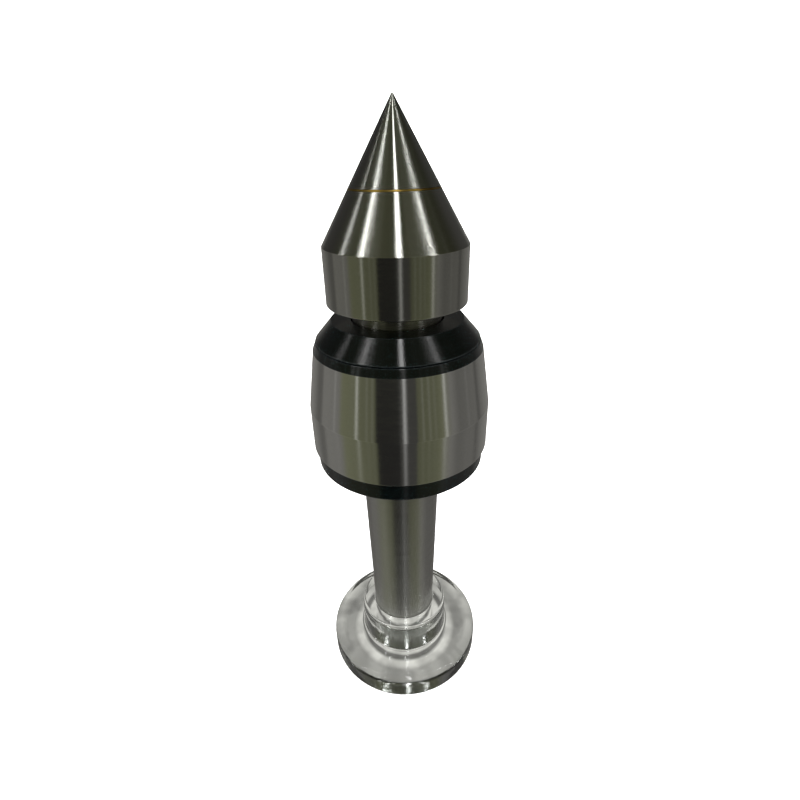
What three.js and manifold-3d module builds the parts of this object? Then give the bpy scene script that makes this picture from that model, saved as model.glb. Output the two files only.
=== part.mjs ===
// Live centre for a lathe tailstock: a 60 degree carbide-tipped point that spins on three bearings
// inside a housing with a Morse taper No. 4 shank, standing in a clear foot.
// Millimetres, +Z up along the spindle axis, origin at the centre of the foot's underside.

import * as THREE from 'three';
import { mergeVertices } from 'three/addons/utils/BufferGeometryUtils.js';
import Module from 'manifold-3d';

// ---------------------------------------------------------------- driving dimensions

// Clearances
const SEAT_GAP = 0.3;        // between pieces that are seated, pressed or screwed together
const RUN_GAP = 0.3;         // between pieces that turn past each other
const BRAZE_GAP = 0.1;       // each side of the braze layer

// Clear foot
const FOOT_RADIUS = 34.3;
const FOOT_HEIGHT = 10.8;
const FOOT_RIM_ROUND = 3.2;
const FOOT_BOTTOM_EDGE = 0.6;
const HUB_HEIGHT = 25.5;     // from the underside to the hub's top face
const HUB_WALL = 5.6;        // around the tapered bore, at the hub's top
const HUB_DRAFT = 0.3;       // how much wider the hub is where it meets the disc
const HUB_ROUND = 1.2;
const SHANK_LIFT = 4;        // from the underside up to the shank's small end

// Morse taper No. 4 shank
const GAUGE_DIAMETER = 31.267;
const TAPER_ON_DIAMETER = 1 / 19.254;
const GAUGE_STANDOFF = 6.5;  // from the collar's rear face down to the gauge plane
const SHANK_LENGTH = 104.5;
const SHANK_END_CHAMFER = 0.8;
const CENTRE_HOLE_MOUTH_RADIUS = 5;
const CENTRE_HOLE_PILOT_RADIUS = 2;
const CENTRE_HOLE_PILOT_DEPTH = 3;

// Housing
const REAR_WALL = 6.5;       // from the collar's rear face up to the chamber floor
const REAR_BAND_HEIGHT = 7.4;
const REAR_BAND_INSET = 1.3;
const REAR_CHAMFER = 1;
const BAND_STEP_HEIGHT = 0.4;
const HOUSING_WALL = 7.3;    // around the front bearing's seat
const GROUND_CYLINDER_LENGTH = 16.8;
const FRONT_TAPER_DROP = 3.1;
const LIP_HEIGHT = 2.8;
const LIP_DROP = 1.1;
const THREAD_ENGAGEMENT = 6.5;
const THREAD_STEP = 1;       // how far the cap's thread is wider than the bearing seat
const NUT_BORE_MARGIN = 1.8; // round the lock nut and the turning thrust washer
const BORE_STEP_ABOVE_CUP = 2;
const BORE_BELOW_TAIL = 3;

// Front ball bearing
const BEARING_BORE = 25;
const BEARING_OUTER = 52;
const BEARING_WIDTH = 15;
const BALL_DIAMETER = 7.94;
const BALL_COUNT = 9;
const CAGE_THICKNESS = 2.2;
const CAGE_MARGIN = 1.3;     // cage left above and below each pocket

// Thrust ball bearing
const THRUST_SECTION = 8.5;  // radial, from its bore to its outer edge
const THRUST_HEIGHT = 11;
const THRUST_BALL_DIAMETER = 5.56;
const THRUST_BALL_COUNT = 12;
const THRUST_WASHER = 3.6;   // thickness of each washer
const THRUST_CAGE_MARGIN = 0.8;
const SHIM_THICKNESS = 0.8;

// Rear needle bearing
const TAIL_DIAMETER = 12;
const NEEDLE_DIAMETER = 2;
const NEEDLE_LENGTH = 8;
const NEEDLE_COUNT = 12;
const NEEDLE_CUP_WALL = 0.5;
const NEEDLE_CUP_LENGTH = 12;
const NEEDLE_CUP_DEPTH = 21; // from the chamber floor down to the cup's front end
const NEEDLE_CAGE_THICKNESS = 0.8;

// Lock nut and tab washer
const NUT_DIAMETER = 38;
const NUT_HEIGHT = 6;
const NUT_SLOT_WIDTH = 5;
const NUT_SLOT_DEPTH = 2;
const NUT_SLOT_COUNT = 4;
const NUT_CHAMFER = 1;
const TAB_WASHER_THICKNESS = 1.2;
const KEYWAY_WIDTH = 4;
const KEYWAY_DEPTH = 1.6;
const TAB_INSET = 0.4;       // how far the tab washer's edge is inside the nut's
const OVERCUT = 1;           // how far a cutter runs past the face that it opens

// Spindle
const TAIL_STUB = 2.5;       // how far the tail stands out behind the needle bearing
const TAIL_CHAMFER = 0.6;
const SHAFT_STEP_ABOVE_BORE = 2;
const MID_SHAFT_DIAMETER = 21;
const NECK_DIAMETER = 31.6;
const NECK_LENGTH = 19.5;
const HEAD_DIAMETER = 48.6;
const HEAD_LENGTH = 19;
const HEAD_EDGE = 0.5;
const POINT_HALF_ANGLE = Math.PI / 6;
const TIP_FLAT_RADIUS = 0.25;
const CARBIDE_DIAMETER = 28.9;
const CARBIDE_STUB_DIAMETER = 16;
const CARBIDE_STUB_LENGTH = 9;
const BRAZE_THICKNESS = 0.45;

// Front cap, wiper seal and O-ring
const CAP_RIM_INSET = 0.2;   // how far the cap's rim is inside the housing's lip
const CAP_RIM_HEIGHT = 0.4;
const CAP_HEIGHT = 7.2;      // from the cap's seat on the housing to its flat top
const CAP_FLARE = 5.9;       // how far the cone runs in from the rim to the flat top
const CAP_WEB = 2.4;         // thickness of the flat top over the seal
const CAP_SKIRT_WALL = 4.5;
const SEAL_SECTION = 3.9;    // radial
const SEAL_HEIGHT = 3.3;
const SEAL_LIP = 0.8;        // how far the lip reaches in past the seal's body
const CAP_BORE_STEP = 4;     // height of the wide bore inside the cap's skirt
const ORING_SECTION = 1.5;

// Facets around the axis
const OUTER_FACETS = 36;
const INNER_FACETS = 24;
const POCKET_FACETS = 10;
const NEEDLE_FACETS = 8;
const ORING_FACETS = 8;
const GROOVE_FACETS = 4;
const RIM_FACETS = 3;
const BALL_FACETS = [8, 5];

// ---------------------------------------------------------------- derived sizes and heights

const zShankEnd = SHANK_LIFT;
const zCollar = zShankEnd + SHANK_LENGTH;
const zGauge = zCollar - GAUGE_STANDOFF;
const zFloor = zCollar + REAR_WALL;
const zShim = zFloor + SEAT_GAP;
const zThrust = zShim + SHIM_THICKNESS + SEAT_GAP;
const zThrustTop = zThrust + THRUST_HEIGHT;
const zNut = zThrustTop + SEAT_GAP;
const zTabWasher = zNut + NUT_HEIGHT + SEAT_GAP;
const zBearing = zTabWasher + TAB_WASHER_THICKNESS + SEAT_GAP;
const zBearingTop = zBearing + BEARING_WIDTH;
const zShoulder = zBearingTop + SEAT_GAP;
const zFront = zShoulder + THREAD_ENGAGEMENT;
const zHead = zShoulder + NECK_LENGTH;
const zConeBase = zHead + HEAD_LENGTH;

const headRadius = HEAD_DIAMETER / 2;
const neckRadius = NECK_DIAMETER / 2;
const journalRadius = BEARING_BORE / 2 - SEAT_GAP;
const thrustRadius = BEARING_BORE / 2 + THRUST_SECTION;
const midShaftRadius = MID_SHAFT_DIAMETER / 2;
const tailRadius = TAIL_DIAMETER / 2;
const seatRadius = BEARING_OUTER / 2 + SEAT_GAP;
const bodyRadius = seatRadius + HOUSING_WALL;
const threadBoreRadius = seatRadius + THREAD_STEP;
const lipRadius = bodyRadius - FRONT_TAPER_DROP - LIP_DROP;

const zApex = zConeBase + headRadius / Math.tan(POINT_HALF_ANGLE);
const zCarbide = zApex - CARBIDE_DIAMETER / 2 / Math.tan(POINT_HALF_ANGLE);
const brazeDrop = BRAZE_THICKNESS + 2 * BRAZE_GAP;

const zCupTop = zFloor - NEEDLE_CUP_DEPTH;
const zCup = zCupTop - NEEDLE_CUP_LENGTH;
const zTail = zCup - TAIL_STUB;
const needleCircle = tailRadius + RUN_GAP + NEEDLE_DIAMETER / 2;
const cupInnerRadius = needleCircle + NEEDLE_DIAMETER / 2 + RUN_GAP;
const cupOuterRadius = cupInnerRadius + NEEDLE_CUP_WALL;

const coneRadius = (z) => (zApex - z) * Math.tan(POINT_HALF_ANGLE);
const shankRadius = (z) => GAUGE_DIAMETER / 2 + (z - zGauge) * TAPER_ON_DIAMETER / 2;

// ---------------------------------------------------------------- geometry helpers

const wasm = await Module();
wasm.setup();

// A solid of revolution from a closed outline of [radius, height] points.
// An outline whose ends lie on the axis is left open there.
function lathe(outline, facets) {
  const points = outline.map(([r, z]) => new THREE.Vector2(r, z));
  const onAxis = outline[0][0] === 0 && outline[outline.length - 1][0] === 0;
  if (!onAxis) {
    points.push(points[0].clone());
  }
  const geometry = new THREE.LatheGeometry(points, facets);
  geometry.rotateX(Math.PI / 2);
  return facingOut(geometry);
}

// Points along an arc in the [radius, height] plane, from one angle to another in degrees.
function arc(centreR, centreZ, radius, from, to, steps) {
  const points = [];
  for (let i = 0; i <= steps; i += 1) {
    const angle = THREE.MathUtils.degToRad(from + ((to - from) * i) / steps);
    points.push([centreR + radius * Math.cos(angle), centreZ + radius * Math.sin(angle)]);
  }
  return points;
}

const MERGE_DISTANCE = 1e-4;

function merged(geometry) {
  const bare = geometry.clone();
  bare.deleteAttribute('normal');
  bare.deleteAttribute('uv');
  return mergeVertices(bare, MERGE_DISTANCE);
}

// The same solid with its triangles facing out and those of no area left out.
function facingOut(geometry) {
  const shape = merged(geometry);
  const position = shape.getAttribute('position');
  const kept = [];
  const corner = [0, 1, 2].map(() => new THREE.Vector3());
  let volume = 0;
  for (let i = 0; i < shape.index.count; i += 3) {
    const ids = [0, 1, 2].map((k) => shape.index.getX(i + k));
    if (new Set(ids).size === 3) {
      ids.forEach((id, k) => corner[k].fromBufferAttribute(position, id));
      volume += corner[0].dot(corner[1].clone().cross(corner[2]));
      kept.push(ids);
    }
  }
  const cornerOrder = volume < 0 ? [0, 2, 1] : [0, 1, 2];
  shape.setIndex(kept.flatMap((ids) => cornerOrder.map((k) => ids[k])));
  return shape;
}

function toSolid(geometry) {
  const shape = facingOut(geometry);
  const mesh = new wasm.Mesh({
    numProp: 3,
    vertProperties: new Float32Array(shape.getAttribute('position').array),
    triVerts: new Uint32Array(shape.index.array),
  });
  mesh.merge();
  return new wasm.Manifold(mesh);
}

function toGeometry(solid) {
  const mesh = solid.getMesh();
  const geometry = new THREE.BufferGeometry();
  geometry.setAttribute('position', new THREE.BufferAttribute(mesh.vertProperties, 3));
  geometry.setIndex(new THREE.BufferAttribute(mesh.triVerts, 1));
  return geometry;
}

function cut(geometry, cutters) {
  return toGeometry(cutters.reduce((solid, cutter) => solid.subtract(toSolid(cutter)), toSolid(geometry)));
}

function join(geometry, additions) {
  return toGeometry(additions.reduce((solid, extra) => solid.add(toSolid(extra)), toSolid(geometry)));
}

// A box between two radii on the side of the axis that angle names, tangentially width wide.
function block(innerR, outerR, width, bottom, top, angle) {
  const geometry = new THREE.BoxGeometry(outerR - innerR, width, top - bottom);
  geometry.translate((innerR + outerR) / 2, 0, (bottom + top) / 2);
  return geometry.rotateZ(angle);
}

// A round cutter of the given clear radius, standing along Z or lying along the radius.
function pocket(clearRadius, length, atRadius, z, angle, lying) {
  const corner = clearRadius / Math.cos(Math.PI / POCKET_FACETS);
  const geometry = new THREE.CylinderGeometry(corner, corner, length, POCKET_FACETS);
  if (lying) {
    geometry.rotateZ(Math.PI / 2);
  } else {
    geometry.rotateX(Math.PI / 2);
  }
  geometry.translate(atRadius, 0, z);
  return geometry.rotateZ(angle);
}

function around(count, make) {
  return Array.from({ length: count }, (_, i) => make((2 * Math.PI * i) / count));
}

// ---------------------------------------------------------------- materials

const finish = (color, roughness, metalness, extra = {}) =>
  new THREE.MeshStandardMaterial({ color, roughness, metalness, ...extra });

const groundSteel = finish(0x74756b, 0.25, 1);
const carbide = finish(0x4b4d44, 0.3, 1);
const braze = finish(0xa8843c, 0.4, 1);
const blackOxide = finish(0x14181a, 0.45, 0.6);
const bearingSteel = finish(0xb9bcc0, 0.15, 1);
const cageBrass = finish(0xa98545, 0.35, 1);
const rubber = finish(0x161616, 0.8, 0);
const clearAcrylic = finish(0xdfe3e2, 0.05, 0, { transparent: true, opacity: 0.35 });

// ---------------------------------------------------------------- pieces

function clearFoot() {
  const bore = (z) => shankRadius(z) + SEAT_GAP;
  const hubTopR = bore(HUB_HEIGHT) + HUB_WALL;
  const rimR = FOOT_RADIUS - FOOT_RIM_ROUND;
  const rimZ = FOOT_HEIGHT - FOOT_RIM_ROUND;
  return lathe([
    [bore(0), 0],
    [FOOT_RADIUS - FOOT_BOTTOM_EDGE, 0],
    [FOOT_RADIUS, FOOT_BOTTOM_EDGE],
    ...arc(rimR, rimZ, FOOT_RIM_ROUND, 0, 90, RIM_FACETS),
    [hubTopR + HUB_DRAFT + HUB_ROUND, FOOT_HEIGHT],
    [hubTopR + HUB_DRAFT, FOOT_HEIGHT + HUB_ROUND],
    [hubTopR, HUB_HEIGHT - HUB_ROUND],
    [hubTopR - HUB_ROUND, HUB_HEIGHT],
    [bore(HUB_HEIGHT), HUB_HEIGHT],
  ], OUTER_FACETS);
}

function housing() {
  const pilotTop = zShankEnd + CENTRE_HOLE_PILOT_DEPTH
    + (CENTRE_HOLE_MOUTH_RADIUS - CENTRE_HOLE_PILOT_RADIUS) / Math.tan(POINT_HALF_ANGLE);
  const pilotMouth = pilotTop - CENTRE_HOLE_PILOT_DEPTH;
  const bandRadius = bodyRadius - REAR_BAND_INSET;
  const zBand = zCollar + REAR_BAND_HEIGHT;
  const zGround = zBand + BAND_STEP_HEIGHT;
  const thrustSeatRadius = thrustRadius + SEAT_GAP;
  const nutBoreRadius = Math.max(NUT_DIAMETER / 2, thrustRadius) + NUT_BORE_MARGIN;
  const midBoreRadius = midShaftRadius + 2 * RUN_GAP;
  const cupBoreRadius = cupOuterRadius + SEAT_GAP;
  const zMidBore = zCupTop + BORE_STEP_ABOVE_CUP;
  const zBoreEnd = zTail - BORE_BELOW_TAIL;
  return lathe([
    [0, pilotTop],
    [CENTRE_HOLE_PILOT_RADIUS, pilotTop],
    [CENTRE_HOLE_PILOT_RADIUS, pilotMouth],
    [CENTRE_HOLE_MOUTH_RADIUS, zShankEnd],
    [shankRadius(zShankEnd) - SHANK_END_CHAMFER, zShankEnd],
    [shankRadius(zShankEnd + SHANK_END_CHAMFER), zShankEnd + SHANK_END_CHAMFER],
    [shankRadius(zCollar), zCollar],
    [bandRadius - REAR_CHAMFER, zCollar],
    [bandRadius, zCollar + REAR_CHAMFER],
    [bandRadius, zBand],
    [bodyRadius, zGround],
    [bodyRadius, zGround + GROUND_CYLINDER_LENGTH],
    [bodyRadius - FRONT_TAPER_DROP, zFront - LIP_HEIGHT],
    [lipRadius, zFront],
    [threadBoreRadius, zFront],
    [threadBoreRadius, zBearingTop],
    [seatRadius, zBearingTop],
    [seatRadius, zBearing - SEAT_GAP],
    [nutBoreRadius, zBearing - SEAT_GAP],
    [nutBoreRadius, zThrust + THRUST_HEIGHT / 2],
    [thrustSeatRadius, zThrust + THRUST_HEIGHT / 2],
    [thrustSeatRadius, zFloor],
    [midBoreRadius, zFloor],
    [midBoreRadius, zMidBore],
    [cupBoreRadius, zMidBore],
    [cupBoreRadius, zBoreEnd],
    [0, zBoreEnd],
  ], OUTER_FACETS);
}

const capSeatZ = zFront + SEAT_GAP;
const capTopZ = capSeatZ + CAP_HEIGHT;
const capRimRadius = lipRadius - CAP_RIM_INSET;
const capSkirtRadius = threadBoreRadius - SEAT_GAP;
const capBoreRadius = neckRadius + 2 * RUN_GAP;
const sealInnerRadius = neckRadius + RUN_GAP;
const sealOuterRadius = sealInnerRadius + SEAL_SECTION;
const sealPocketRadius = sealOuterRadius + SEAT_GAP;
const capTopRadius = capRimRadius - CAP_FLARE;
const capWebZ = capTopZ - CAP_WEB;
const oringCentreRadius = threadBoreRadius - SEAT_GAP - ORING_SECTION / 2;
const oringCentreZ = capSeatZ - SEAT_GAP - ORING_SECTION;

function frontCap() {
  const grooveFloor = oringCentreRadius - ORING_SECTION / 2 - SEAT_GAP;
  const grooveHalf = ORING_SECTION / 2 + SEAT_GAP;
  const skirtInner = capSkirtRadius - CAP_SKIRT_WALL;
  return lathe([
    [skirtInner, zShoulder],
    [capSkirtRadius, zShoulder],
    [capSkirtRadius, oringCentreZ - grooveHalf],
    [grooveFloor, oringCentreZ - grooveHalf],
    [grooveFloor, oringCentreZ + grooveHalf],
    [capSkirtRadius, oringCentreZ + grooveHalf],
    [capSkirtRadius, capSeatZ],
    [capRimRadius, capSeatZ],
    [capRimRadius, capSeatZ + CAP_RIM_HEIGHT],
    [capTopRadius, capTopZ],
    [capBoreRadius, capTopZ],
    [capBoreRadius, capWebZ],
    [sealPocketRadius, capWebZ],
    [sealPocketRadius, zShoulder + CAP_BORE_STEP],
    [skirtInner, zShoulder + CAP_BORE_STEP],
  ], OUTER_FACETS);
}

function wiperSeal() {
  const bottom = capWebZ - SEAT_GAP - SEAL_HEIGHT;
  return lathe([
    [sealInnerRadius + SEAL_LIP, bottom],
    [sealOuterRadius, bottom],
    [sealOuterRadius, bottom + SEAL_HEIGHT],
    [sealInnerRadius + SEAL_LIP, bottom + SEAL_HEIGHT],
    [sealInnerRadius, bottom + SEAL_HEIGHT - SEAL_LIP],
  ], INNER_FACETS);
}

function oRing() {
  const circle = arc(oringCentreRadius, oringCentreZ, ORING_SECTION / 2, 0, 360, ORING_FACETS);
  return lathe(circle.slice(0, -1), INNER_FACETS);
}

const zCarbideSeat = zCarbide - brazeDrop;
const carbideStubRadius = CARBIDE_STUB_DIAMETER / 2;
const carbideHoleRadius = carbideStubRadius + brazeDrop;
const zStub = zCarbide - CARBIDE_STUB_LENGTH;

function spindle() {
  const zMidBottom = zCupTop + BORE_STEP_ABOVE_CUP + SHAFT_STEP_ABOVE_BORE;
  const body = lathe([
    [0, zTail],
    [tailRadius - TAIL_CHAMFER, zTail],
    [tailRadius, zTail + TAIL_CHAMFER],
    [tailRadius, zMidBottom],
    [midShaftRadius, zMidBottom],
    [midShaftRadius, zThrustTop - THRUST_WASHER - SEAT_GAP],
    [journalRadius, zThrustTop - THRUST_WASHER - SEAT_GAP],
    [journalRadius, zShoulder],
    [neckRadius, zShoulder],
    [neckRadius, zHead],
    [headRadius - HEAD_EDGE, zHead],
    [headRadius, zHead + HEAD_EDGE],
    [headRadius, zConeBase],
    [coneRadius(zCarbideSeat), zCarbideSeat],
    [carbideHoleRadius, zCarbideSeat],
    [carbideHoleRadius, zStub - brazeDrop],
    [0, zStub - brazeDrop],
  ], OUTER_FACETS);
  const keyway = block(
    journalRadius - KEYWAY_DEPTH, journalRadius + OVERCUT, KEYWAY_WIDTH, zThrustTop, zBearing, Math.PI,
  );
  return cut(body, [keyway]);
}

function carbideTip() {
  return lathe([
    [0, zStub],
    [carbideStubRadius, zStub],
    [carbideStubRadius, zCarbide],
    [coneRadius(zCarbide), zCarbide],
    [TIP_FLAT_RADIUS, zApex - TIP_FLAT_RADIUS / Math.tan(POINT_HALF_ANGLE)],
    [0, zApex - TIP_FLAT_RADIUS / Math.tan(POINT_HALF_ANGLE)],
  ], OUTER_FACETS);
}

// The braze layer is a thin cup: a flat ring on the steel's top face and a sleeve round the stub.
function brazeJoint() {
  const top = zCarbide - BRAZE_GAP;
  const bottom = top - BRAZE_THICKNESS;
  const inner = carbideStubRadius + BRAZE_GAP;
  const outer = inner + BRAZE_THICKNESS;
  return lathe([
    [0, zStub - BRAZE_GAP - BRAZE_THICKNESS],
    [outer, zStub - BRAZE_GAP - BRAZE_THICKNESS],
    [outer, bottom],
    [coneRadius(bottom), bottom],
    [coneRadius(top), top],
    [inner, top],
    [inner, zStub - BRAZE_GAP],
    [0, zStub - BRAZE_GAP],
  ], OUTER_FACETS);
}

// Front ball bearing: the balls run midway between its bore and its outer ring.
const ballCircle = (BEARING_BORE + BEARING_OUTER) / 4;
const ballRadius = BALL_DIAMETER / 2;
const ballCentreZ = zBearing + BEARING_WIDTH / 2;
const grooveRadius = ballRadius + RUN_GAP;
const landOffset = CAGE_THICKNESS / 2 + RUN_GAP * 2;

// Outline points, from the bottom up, of the ball groove in a ring whose land is at landR.
function ballGroove(landR) {
  const half = THREE.MathUtils.radToDeg(Math.acos(Math.abs(landR - ballCircle) / grooveRadius));
  const facing = landR > ballCircle ? 0 : 180;
  const turn = landR > ballCircle ? half : -half;
  return arc(ballCircle, ballCentreZ, grooveRadius, facing - turn, facing + turn, GROOVE_FACETS);
}

function bearingRing(seatR, land) {
  return lathe([
    [land, zBearingTop],
    [seatR, zBearingTop],
    [seatR, zBearing],
    [land, zBearing],
    ...ballGroove(land),
  ], INNER_FACETS);
}

function ballCage() {
  const inner = ballCircle - CAGE_THICKNESS / 2;
  const outer = ballCircle + CAGE_THICKNESS / 2;
  const half = ballRadius + RUN_GAP + CAGE_MARGIN;
  const ring = lathe([
    [inner, ballCentreZ - half],
    [outer, ballCentreZ - half],
    [outer, ballCentreZ + half],
    [inner, ballCentreZ + half],
  ], INNER_FACETS);
  const depth = 2 * CAGE_THICKNESS + ballRadius;
  return cut(ring, around(BALL_COUNT, (angle) =>
    pocket(ballRadius + RUN_GAP, depth, ballCircle, ballCentreZ, angle, true)));
}

// Thrust ball bearing: the balls run midway between the shaft and the washers' outer edge.
const thrustCircle = (BEARING_BORE / 2 + thrustRadius) / 2;
const thrustBallRadius = THRUST_BALL_DIAMETER / 2;
const thrustCentreZ = zThrust + THRUST_HEIGHT / 2;
const thrustCageHalf = THRUST_HEIGHT / 2 - THRUST_WASHER - RUN_GAP;

// A thrust washer whose flat side is at one height and whose grooved side is at another.
function thrustWasher(innerR, outerR, flatZ, groovedZ) {
  const grooveR = thrustBallRadius + RUN_GAP;
  const away = Math.sign(flatZ - thrustCentreZ);
  const half = THREE.MathUtils.radToDeg(Math.acos(Math.abs(groovedZ - thrustCentreZ) / grooveR));
  const facing = 90 * away;
  const groove = arc(thrustCircle, thrustCentreZ, grooveR, facing + half, facing - half, GROOVE_FACETS);
  const ordered = groove[0][0] < groove[GROOVE_FACETS][0] ? groove : groove.reverse();
  return lathe([
    [innerR, flatZ],
    [innerR, groovedZ],
    ...ordered,
    [outerR, groovedZ],
    [outerR, flatZ],
  ], INNER_FACETS);
}

function thrustCage() {
  const reach = thrustBallRadius + RUN_GAP + THRUST_CAGE_MARGIN;
  const inner = thrustCircle - reach;
  const outer = thrustCircle + reach;
  const plate = lathe([
    [inner, thrustCentreZ - thrustCageHalf],
    [outer, thrustCentreZ - thrustCageHalf],
    [outer, thrustCentreZ + thrustCageHalf],
    [inner, thrustCentreZ + thrustCageHalf],
  ], INNER_FACETS);
  return cut(plate, around(THRUST_BALL_COUNT, (angle) =>
    pocket(thrustBallRadius + RUN_GAP / 2, THRUST_HEIGHT, thrustCircle, thrustCentreZ, angle, false)));
}

function shim() {
  const inner = BEARING_BORE / 2 + SEAT_GAP;
  const outer = thrustRadius;
  return lathe([
    [inner, zShim],
    [outer, zShim],
    [outer, zShim + SHIM_THICKNESS],
    [inner, zShim + SHIM_THICKNESS],
  ], INNER_FACETS);
}

function lockNut() {
  const outer = NUT_DIAMETER / 2;
  const ring = lathe([
    [BEARING_BORE / 2, zNut],
    [outer - NUT_CHAMFER, zNut],
    [outer, zNut + NUT_CHAMFER],
    [outer, zNut + NUT_HEIGHT],
    [BEARING_BORE / 2, zNut + NUT_HEIGHT],
  ], INNER_FACETS);
  return cut(ring, around(NUT_SLOT_COUNT, (angle) =>
    block(
      outer - NUT_SLOT_DEPTH, outer + OVERCUT, NUT_SLOT_WIDTH,
      zNut - OVERCUT, zNut + NUT_HEIGHT + OVERCUT, angle,
    )));
}

// The washer's inner tab sits in the spindle's keyway, and its outer tab is bent into a nut slot.
function tabWasher() {
  const inner = BEARING_BORE / 2;
  const outer = NUT_DIAMETER / 2 - TAB_INSET;
  const top = zTabWasher + TAB_WASHER_THICKNESS;
  const slotFloor = NUT_DIAMETER / 2 - NUT_SLOT_DEPTH;
  const ring = lathe([
    [inner, zTabWasher],
    [outer, zTabWasher],
    [outer, top],
    [inner, top],
  ], INNER_FACETS);
  const tabInner = journalRadius - KEYWAY_DEPTH + SEAT_GAP;
  const innerTab = block(tabInner, inner + OVERCUT, KEYWAY_WIDTH - 2 * SEAT_GAP, zTabWasher, top, Math.PI);
  const bentTab = block(
    slotFloor + SEAT_GAP, outer - TAB_INSET / 2, NUT_SLOT_WIDTH - 2 * SEAT_GAP,
    zNut + NUT_CHAMFER, top - TAB_INSET / 2, 0,
  );
  return join(ring, [innerTab, bentTab]);
}

// Rear needle bearing: a drawn cup with turned-in ends, a slotted cage and the needles.
function needleCup() {
  const lip = tailRadius + 2 * RUN_GAP;
  return lathe([
    [lip, zCup],
    [cupOuterRadius, zCup],
    [cupOuterRadius, zCupTop],
    [lip, zCupTop],
    [lip, zCupTop - NEEDLE_CUP_WALL],
    [cupInnerRadius, zCupTop - NEEDLE_CUP_WALL],
    [cupInnerRadius, zCup + NEEDLE_CUP_WALL],
    [lip, zCup + NEEDLE_CUP_WALL],
  ], INNER_FACETS);
}

const needleMidZ = (zCup + zCupTop) / 2;

function needleCage() {
  const inner = needleCircle - NEEDLE_CAGE_THICKNESS / 2;
  const outer = needleCircle + NEEDLE_CAGE_THICKNESS / 2;
  const half = NEEDLE_CUP_LENGTH / 2 - NEEDLE_CUP_WALL - RUN_GAP;
  const slotHalf = NEEDLE_LENGTH / 2 + RUN_GAP;
  const ring = lathe([
    [inner, needleMidZ - half],
    [outer, needleMidZ - half],
    [outer, needleMidZ + half],
    [inner, needleMidZ + half],
  ], INNER_FACETS);
  return cut(ring, around(NEEDLE_COUNT, (angle) =>
    block(
      inner - OVERCUT, outer + OVERCUT, NEEDLE_DIAMETER + RUN_GAP,
      needleMidZ - slotHalf, needleMidZ + slotHalf, angle,
    )));
}

function needle() {
  const geometry = new THREE.CylinderGeometry(
    NEEDLE_DIAMETER / 2, NEEDLE_DIAMETER / 2, NEEDLE_LENGTH, NEEDLE_FACETS,
  );
  return facingOut(geometry.rotateX(Math.PI / 2));
}

function ball(radius) {
  return facingOut(new THREE.SphereGeometry(radius, ...BALL_FACETS));
}

// ---------------------------------------------------------------- assembly

const center = new THREE.Group();

function place(name, geometry, material) {
  const mesh = new THREE.Mesh(geometry, material);
  mesh.name = name;
  center.add(mesh);
  return mesh;
}

// Copies of a rolling element, evenly spaced on a circle at one height.
function placeAround(name, count, geometry, material, circle, z) {
  for (let i = 0; i < count; i += 1) {
    const angle = (2 * Math.PI * i) / count;
    const mesh = place(`${name}_${String(i + 1).padStart(2, '0')}`, geometry, material);
    mesh.position.set(circle * Math.cos(angle), circle * Math.sin(angle), z);
    mesh.rotation.z = angle;
  }
}

place('clear_foot', clearFoot(), clearAcrylic);
place('housing', housing(), groundSteel);
place('front_cap', frontCap(), blackOxide);
place('wiper_seal', wiperSeal(), rubber);
place('cap_o_ring', oRing(), rubber);

place('spindle', spindle(), groundSteel);
place('carbide_tip', carbideTip(), carbide);
place('braze_joint', brazeJoint(), braze);
place('lock_nut', lockNut(), blackOxide);
place('tab_washer', tabWasher(), bearingSteel);

place('front_bearing_outer_ring', bearingRing(BEARING_OUTER / 2, ballCircle + landOffset), bearingSteel);
place('front_bearing_inner_ring', bearingRing(BEARING_BORE / 2, ballCircle - landOffset), bearingSteel);
place('front_bearing_cage', ballCage(), cageBrass);
placeAround('front_ball', BALL_COUNT, ball(ballRadius), bearingSteel, ballCircle, ballCentreZ);

place('preload_shim', shim(), bearingSteel);
place(
  'thrust_housing_washer',
  thrustWasher(BEARING_BORE / 2 + 2 * RUN_GAP, thrustRadius, zThrust, zThrust + THRUST_WASHER),
  bearingSteel,
);
place(
  'thrust_shaft_washer',
  thrustWasher(BEARING_BORE / 2, thrustRadius, zThrustTop, zThrustTop - THRUST_WASHER),
  bearingSteel,
);
place('thrust_cage', thrustCage(), cageBrass);
placeAround(
  'thrust_ball', THRUST_BALL_COUNT, ball(thrustBallRadius), bearingSteel, thrustCircle, thrustCentreZ,
);

place('needle_cup', needleCup(), bearingSteel);
place('needle_cage', needleCage(), bearingSteel);
placeAround('needle', NEEDLE_COUNT, needle(), bearingSteel, needleCircle, needleMidZ);

export default center;
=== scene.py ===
"""Looks of a lathe live center that stands in a clear foot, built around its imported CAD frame.

Lengths in the outlines are millimetres, as on a workshop drawing. Meshes are made in metres.
The spindle axis is +Z, and z = 0 is the underside of the clear foot.
"""

import math

import bmesh
import bpy
from bpy.props import FloatProperty, FloatVectorProperty, IntProperty, PointerProperty
from mathutils import Matrix, Vector


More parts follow.
